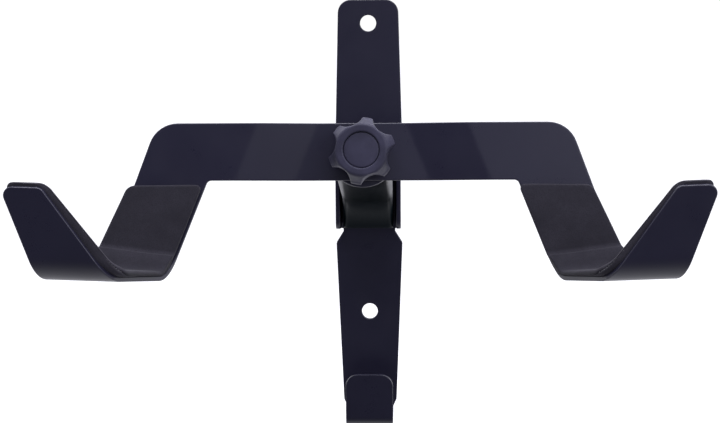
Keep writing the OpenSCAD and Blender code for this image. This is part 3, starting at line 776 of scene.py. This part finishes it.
def pad(name, side, out_over, in_over, front_over):
    """A pad glued in a hook: soft edges, a crowned face, a crease and a little unevenness."""
    end = STRIP_END + PAD_OVER

    def outer(t):
        blend = min(1, max(0, t / FRONT_AT))
        return (outer_edge(t) + out_over + PAD_FAN * min(0, t)
                - (out_over + PAD_INSET) * blend)

    def inner(t):
        blend = min(1, max(0, t / FRONT_AT))
        return (inner_edge(t) - in_over - (front_over - in_over) * blend
                + PAD_CLOSE * max(0, t - FRONT_AT) / FRONT)

    def level(a):
        return (-BEND_DROP + a * math.sin(TILT) - BAR_LOW + PAD_GAP) / math.cos(TILT)

    def ring(ti, to, near_end, above=False):
        """Points round the pad, near_end short of its nearer end."""
        cut = 0.0
        if near_end < PAD_CORNER_R:
            cut = PAD_CORNER_R - math.sqrt(PAD_CORNER_R ** 2 - (PAD_CORNER_R - near_end) ** 2)
        lose = 0.0
        if near_end < PAD_EDGE_R:
            lose = PAD_EDGE_R - math.sqrt(PAD_EDGE_R ** 2 - (PAD_EDGE_R - near_end) ** 2)
        ia, oa = inner(ti) + cut, outer(to) - cut
        points = []
        for x, f, high in pad_section(DRAWN_T, oa - ia, lose):
            t = ti + (to - ti) * f
            base = np.array(bent(t, SHEET / 2))
            face = foam_face(t - 1e-4 if above else t, f) - base
            thick = np.linalg.norm(face)
            high = high - DRAWN_T + thick if high > DRAWN_T / 2 else high / DRAWN_T * thick
            p = hook_point(ia + x, *(base + face / thick * max(high, 0)))
            q = Vector((p[0] * UNEVEN_SCALE + side * 40, p[1] * UNEVEN_SCALE, p[2] * UNEVEN_SCALE))
            uneven = 0.0
            if high > UNEVEN_ABOVE:
                uneven = UNEVEN_BROAD * noise.noise(q) + UNEVEN_FINE * noise.noise(q * 3.7)
            p = hook_point(ia + x, *(base + face / thick * max(high + uneven, 0)))
            points.append(at_bar((side * p[0], p[1], p[2])))
        return points

    rounding = [PAD_EDGE_R * (1 - math.cos(a)) for a in np.linspace(0, math.pi / 2, 6)]
    rounding += [1.7, 2.4, 3.2, PAD_CORNER_R]
    top_in, top_out = level(inner(-40)), level(outer(-40))
    rings = [ring(top_in + h, top_out + h, h) for h in rounding]
    start_in, start_out = top_in + PAD_CORNER_R, top_out + PAD_CORNER_R
    for q in np.linspace(0, 1, 15)[1:]:
        rings.append(ring(start_in + (fold(0) - start_in) * q,
                          start_out + (fold(1) - start_out) * q, FAR, above=q == 1))
    for q in np.linspace(0, 1, 14):
        rings.append(ring(fold(0) + (ARC_1 - fold(0)) * q, fold(1) + (ARC_1 - fold(1)) * q, FAR))
    ts = list(np.linspace(ARC_1, BEND_2_AT, 14))[1:]
    ts += list(np.linspace(BEND_2_AT, FRONT_AT, 12))[1:]
    ts += list(np.linspace(FRONT_AT, end - PAD_CORNER_R - 1, 12))[1:]
    rings += [ring(t, t, end - t) for t in ts]
    rings += [ring(end - h, end - h, h) for h in reversed(rounding)]
    n = len(rings[0])
    verts = [p for r in rings for p in r]
    faces = ring_faces(len(rings), n)
    last = (len(rings) - 1) * n
    faces += [tuple(range(n)), tuple(range(last, last + n))[::-1]]
    piece = mesh_object(name, verts, faces)
    return piece


fit(pad("foam_pad_right", 1, 3.3, 1.0, 4.3), FOAM, "cradle", "foam", "pad_right")
fit(pad("foam_pad_left", -1, 7.2, -1.8, 6.3), FOAM, "cradle", "foam", "pad_left")

# ---- the star knob ----

WASHER_T, KNOB_FRONT = 1.6, 19.0
KNOB_BASE = -SET_BACK + WASHER_T
KNOB_TURN, LOBES, SCALLOP_R, SCALLOP_AT = 19.6, 6, 9.4, 24.8
KNOB_STEPS, KNOB_FINE = 540, 0.45
LOBE_RUN, LOBE_RISE, LOBE_SOFT, LOBE_FROM = 4, 3, 1.3, 12
CAP_R, CAP_SUNK, CAP_T = 10.5, 0.8, 2.0
# radius and height of the knob's outside from its foot to the recess for the cap
KNOB_PROFILE = [
    (6.7, KNOB_BASE), (10.2, KNOB_BASE), (11.2, KNOB_BASE + 0.5), (13.0, KNOB_BASE + 3.0),
    (17.6, 0.6), (18.9, 1.4), (19.7, 2.6), (20.0, 4.0), (20.0, 5.4), (20.0, 7.0), (19.9, 8.0),
    (19.5, 9.2), (18.8, 10.2), (18.35, 11.3), (17.8, 12.7), (17.2, 14.3), (16.6, 15.9),
    (16.2, 17.0), (15.95, 17.7), (15.6, 18.25), (15.1, 18.7), (14.5, 18.95), (13.9, 19.0),
    (11.7, 19.0), (11.15, 18.95), (10.85, 18.7), (10.65, 18.2), (10.6, 17.0),
    (10.6, KNOB_FRONT - CAP_SUNK - CAP_T)]
# the same for the cap, its height from the top of its side
CAP_PROFILE = [
    (0.0, -CAP_T), (CAP_R - 0.3, -CAP_T), (CAP_R, -CAP_T + 0.3), (CAP_R, -0.6),
    (CAP_R - 0.12, -0.3), (CAP_R - 0.4, -0.1), (CAP_R - 0.8, -0.02), (9.0, 0.03), (7.0, 0.1),
    (5.0, 0.16), (2.5, 0.19), (0.0, 0.2)]


def on_bolt(x, z, ahead):
    """A point at a height in front of the bar, about the clamping bolt."""
    return at_bar((x, -ahead, z))


def soft_min(a, b, r):
    """The smaller of two lengths, rounded off where they meet."""
    h = max(0.0, r - abs(a - b))
    return min(a, b) - h * h / (4 * r)


def scallop(angle):
    """How far out the scallops let the knob reach at an angle in degrees."""
    off = math.radians((angle - KNOB_TURN) % (360 / LOBES) - 180 / LOBES)
    across, mid = SCALLOP_AT * math.sin(off), SCALLOP_AT * math.cos(off)
    if abs(across) < SCALLOP_R:
        return mid - math.sqrt(SCALLOP_R ** 2 - across ** 2)
    if abs(across) < SCALLOP_R + LOBE_RUN:
        return mid + (abs(across) - SCALLOP_R) * LOBE_RISE
    return FAR


def knob():
    fine = []
    for (r0, h0), (r1, h1) in zip(KNOB_PROFILE, KNOB_PROFILE[1:]):
        n = max(1, round(math.hypot(r1 - r0, h1 - h0) / KNOB_FINE))
        fine += [(r0 + (r1 - r0) * k / n, h0 + (h1 - h0) * k / n) for k in range(n)]
    fine.append(KNOB_PROFILE[-1])
    angles = [360 * k / KNOB_STEPS for k in range(KNOB_STEPS)]
    limits = [scallop(a) for a in angles]
    verts = []
    for r, h in fine:
        for a, limit in zip(angles, limits):
            q = soft_min(r, limit, LOBE_SOFT) if r > LOBE_FROM else r
            a = math.radians(a)
            verts.append(on_bolt(q * math.cos(a), q * math.sin(a), h))
    return mesh_object("star_knob_body", verts, ring_faces(len(fine), KNOB_STEPS, closed=True))


fit(knob(), PLASTIC, "star_knob", "knob_plastic", "knob")
top = KNOB_FRONT - CAP_SUNK
cap = lathe("star_knob_cap", [(r, top + h) for r, h in CAP_PROFILE], on_bolt, 96)
fit(cap, PLASTIC, "star_knob", "knob_plastic", "knob_cap")

# ---- bolts, nut and washers ----

WASHER_R, HEX_R, HEX_HEAD_T, NUT_T, THREAD_END, BOLT_R = 8.0, 7.5, 5.3, 6.5, 2.5, 4.0
HEX_BLUNT, HEX_SOFT, HEX_RIM, FACET_ANGLE = 0.15, 0.3, 1.6, math.radians(24)
WASHER_BORE, CLAMP_WASHER_R, SHIM_R, SHIM_GAP = BOLT_R + 0.2, 12.0, 10.0, 0.15
PITCH, THREAD_DEPTH = 1.25, 0.55


def on_hinge(y, z, x):
    return x, -HINGE_OUT + y, HINGE_UP + z


def flat_ring(name, outer, a, b, place, soft=0.25):
    """A washer from a to b along its axis."""
    half = [(outer - soft * 2, 0), (outer - soft, soft * 0.3), (outer, soft)]
    profile = [(WASHER_BORE, a + soft), (WASHER_BORE + soft, a)]
    profile += [(r, a + h) for r, h in half] + [(r, b - h) for r, h in reversed(half)]
    profile += [(WASHER_BORE + soft, b), (WASHER_BORE, b - soft)]
    return lathe(name, profile, place, 72, closed=True)


def hexagon(name, a, b, place, bore=0.0, flat_end=False):
    """A hexagon with its corners chamfered at both ends, or with its far end left flat."""
    count = 120
    across = HEX_R * math.cos(math.pi / 6)
    length = b - a
    levels = [(0.0, 1.3), (0.25, 0.75), (0.6, 0.25), (1.0, 0.0), (length / 2, 0.0),
              (length - 1.0, 0.0), (length - 0.6, 0.25), (length - 0.25, 0.75), (length, 1.3)]
    if flat_end:
        levels = levels[:5] + [(length - 0.12, 0.0), (length, 0.12)]
    rings = []
    for h, loss in levels:
        ring = []
        for k in range(count):
            t = 2 * math.pi * k / count
            hexr = across / math.cos((t + math.pi / 6) % (math.pi / 3) - math.pi / 6)
            ring.append((soft_min(min(hexr, HEX_R - HEX_BLUNT), HEX_R - loss, HEX_SOFT), h))
        rings.append(ring)
    first = [(bore, levels[0][0])] * count
    last = [(bore, levels[-1][0])] * count
    inner_a = [(across - HEX_RIM, levels[0][0])] * count
    inner_b = [(across - HEX_RIM, levels[-1][0])] * count
    rings = [first, inner_a] + rings + [inner_b, last]
    verts = []
    for ring in rings:
        for k, (r, h) in enumerate(ring):
            t = 2 * math.pi * k / count
            verts.append(place(r * math.cos(t), r * math.sin(t), a + h))
    piece = mesh_object(name, verts, ring_faces(len(rings), count, closed=bore > 0))
    split = piece.modifiers.new("facets", "EDGE_SPLIT")
    split.split_angle = FACET_ANGLE
    return piece


def threaded_rod(name, a, b, thread_from, place):
    """The bolt's shank, with a rolled thread at its end."""
    count = 48
    n = math.ceil((b - thread_from) / (PITCH / 8))
    rows = [a, thread_from - 1] + [thread_from + (b - thread_from) * k / n for k in range(n + 1)]
    verts = []
    for h in rows:
        for k in range(count):
            t = 2 * math.pi * k / count
            wave = abs(((h / PITCH - k / count) % 1) - 0.5) * 2
            fade = min(1, max(0, (h - thread_from) / 1.5))
            tip = max(0, h - b + 1.0) * 0.7
            r = BOLT_R - THREAD_DEPTH * wave * fade - tip
            verts.append(place(r * math.cos(t), r * math.sin(t), h))
    faces = ring_faces(len(rows), count)
    last = (len(rows) - 1) * count
    faces += [tuple(range(count))[::-1], tuple(range(last, last + count))]
    return mesh_object(name, verts, faces)


side = EARS_W / 2
head_end = -side - WASHER_T
head = hexagon("hinge_bolt_head", head_end - HEX_HEAD_T, head_end, on_hinge, flat_end=True)
fit(head, ZINC, "wall_bracket", "zinc_steel", "hinge_bolt")
rod = threaded_rod("hinge_bolt_shank", head_end - 0.5, side + WASHER_T + NUT_T + THREAD_END,
                   side - 1, on_hinge)
fit(rod, ZINC, "wall_bracket", "zinc_steel")
nut = hexagon("hinge_nut_hex", side + WASHER_T, side + WASHER_T + NUT_T, on_hinge, bore=BOLT_R)
fit(nut, ZINC, "wall_bracket", "zinc_steel", "hinge_nut")
for name, a in (("bolt_washer", -side - WASHER_T), ("nut_washer", side)):
    ring = flat_ring(name + "_ring", WASHER_R, a, a + WASHER_T, on_hinge)
    fit(ring, ZINC, "wall_bracket", "zinc_steel", name)
for name, s in (("hinge_shim_right", 1), ("hinge_shim_left", -1)):
    a, b = sorted((s * (ARM_W / 2 + SHIM_GAP), s * (side - SHEET - SHIM_GAP)))
    ring = flat_ring(name + "_ring", SHIM_R, a, b, on_hinge, soft=0.15)
    fit(ring, NYLON, "wall_bracket", "nylon", name)
ring = flat_ring("clamp_washer_ring", CLAMP_WASHER_R, -SET_BACK, KNOB_BASE, on_bolt)
fit(ring, ZINC, "clamp_washer", "zinc_steel", "clamp_washer")

# ---- floor, light and camera ----

FLOOR_HALF, FLOOR_AT = 30000, -420
# how far a direction leans towards the wall where the room turns from dim to white
ROOM_FADE = (-0.97, 0.2)
ROOM_FRONT, ROOM_BACK, ROOM_SEEN = (0.108, 0.108, 0.155), (1.0, 1.0, 1.08), 1.05
COOL = (0.96, 0.96, 1.1)


def studio():
    """A pale floor, and a room that is dim in front of the rack and white behind and below it."""
    corners = [(FLOOR_HALF * a, FLOOR_HALF * b, FLOOR_AT)
               for a, b in ((-1, -1), (1, -1), (1, 1), (-1, 1))]
    floor = mesh_object("floor", corners, [(0, 1, 2, 3)])
    s = Shader("floor_white", Roughness=0.7, Emission_Color=(1, 1, 1, 1), Emission_Strength=0.45)
    cloud = s.remap(s.noise(3.0), 0.3, 0.7)
    s.to("Base Color", s.mix(cloud, (0.86, 0.86, 0.87), (0.88, 0.88, 0.88)))
    floor.data.materials.append(s.material)
    floor.visible_glossy = False
    floor.visible_diffuse = False

    world = bpy.data.worlds.new("studio")
    bpy.context.scene.world = world
    world.use_nodes = True
    t = world.node_tree
    back = t.nodes["Background"]
    toward = t.nodes.new("ShaderNodeTexCoord")
    axes = t.nodes.new("ShaderNodeSeparateXYZ")
    t.links.new(toward.outputs["Generated"], axes.inputs["Vector"])
    fade = t.nodes.new("ShaderNodeMapRange")
    fade.interpolation_type = "SMOOTHSTEP"
    fade.inputs["From Min"].default_value = ROOM_FADE[0]
    fade.inputs["From Max"].default_value = ROOM_FADE[1]
    t.links.new(axes.outputs["Y"], fade.inputs["Value"])
    room = t.nodes.new("ShaderNodeMix")
    room.data_type = "RGBA"
    room.inputs[6].default_value = (*ROOM_FRONT, 1)
    room.inputs[7].default_value = (*ROOM_BACK, 1)
    t.links.new(fade.outputs["Result"], room.inputs["Factor"])
    t.links.new(room.outputs[2], back.inputs["Color"])
    back.inputs["Strength"].default_value = 1.0
    path = t.nodes.new("ShaderNodeLightPath")
    seen = t.nodes.new("ShaderNodeBackground")
    seen.inputs["Color"].default_value = (1, 1, 1, 1)
    seen.inputs["Strength"].default_value = ROOM_SEEN
    mixer = t.nodes.new("ShaderNodeMixShader")
    t.links.new(path.outputs["Is Camera Ray"], mixer.inputs["Fac"])
    t.links.new(back.outputs["Background"], mixer.inputs[1])
    t.links.new(seen.outputs["Background"], mixer.inputs[2])
    t.links.new(mixer.outputs["Shader"], t.nodes["World Output"].inputs["Surface"])


AIM = (0, -0.08, 0)


def softbox(name, at, size, power, color):
    """A rectangular lamp, in metres and watts, turned towards the rack."""
    data = bpy.data.lights.new(name, "AREA")
    data.shape, data.size, data.size_y = "RECTANGLE", size[0], size[1]
    data.energy, data.color = power, color
    lamp = link(bpy.data.objects.new(name, data))
    lamp.location = at
    lamp.rotation_euler = (Vector(AIM) - Vector(at)).to_track_quat("-Z", "Y").to_euler()
    lamp.visible_camera = False


LENS, SENSOR, CAMERA_AT = 77.99, 36.0, (29.12, -1076.53, 107.41)
CAMERA_YAW, CAMERA_PITCH, CAMERA_ROLL = -0.0331, 0.1270, -0.0071


def camera():
    """The photograph's camera: nearly straight on, a little right of and above the rack."""
    data = bpy.data.cameras.new("camera")
    data.lens, data.sensor_width = LENS, SENSOR
    data.clip_start, data.clip_end = 0.05, 50
    cam = link(bpy.data.objects.new("camera", data))
    yaw, pitch, roll = CAMERA_YAW, CAMERA_PITCH, CAMERA_ROLL
    level = math.cos(pitch)
    ahead = Vector((math.sin(yaw) * level, math.cos(yaw) * level, -math.sin(pitch)))
    right = Vector((math.cos(yaw), -math.sin(yaw), 0))
    up = right.cross(ahead)
    r = right * math.cos(roll) + up * math.sin(roll)
    u = up * math.cos(roll) - right * math.sin(roll)
    turn = Matrix((r, u, -ahead)).transposed().to_4x4()
    cam.matrix_world = Matrix.Translation(Vector(CAMERA_AT) * MM) @ turn
    bpy.context.scene.camera = cam


studio()
softbox("key", (0.1, -0.6, 1.3), (1.5, 0.9), 20, COOL)
softbox("right", (0.85, -1.1, 0.45), (0.9, 0.8), 6, COOL)
softbox("front", (0.24, -1.55, 0.33), (0.45, 0.6), 0.45, COOL)
softbox("rim", (0, 0.35, 1.1), (1.8, 0.12), 9, (0.97, 0.97, 1.1))
camera()

view = bpy.context.scene.view_settings
view.view_transform = "Standard"
view.look = "None"
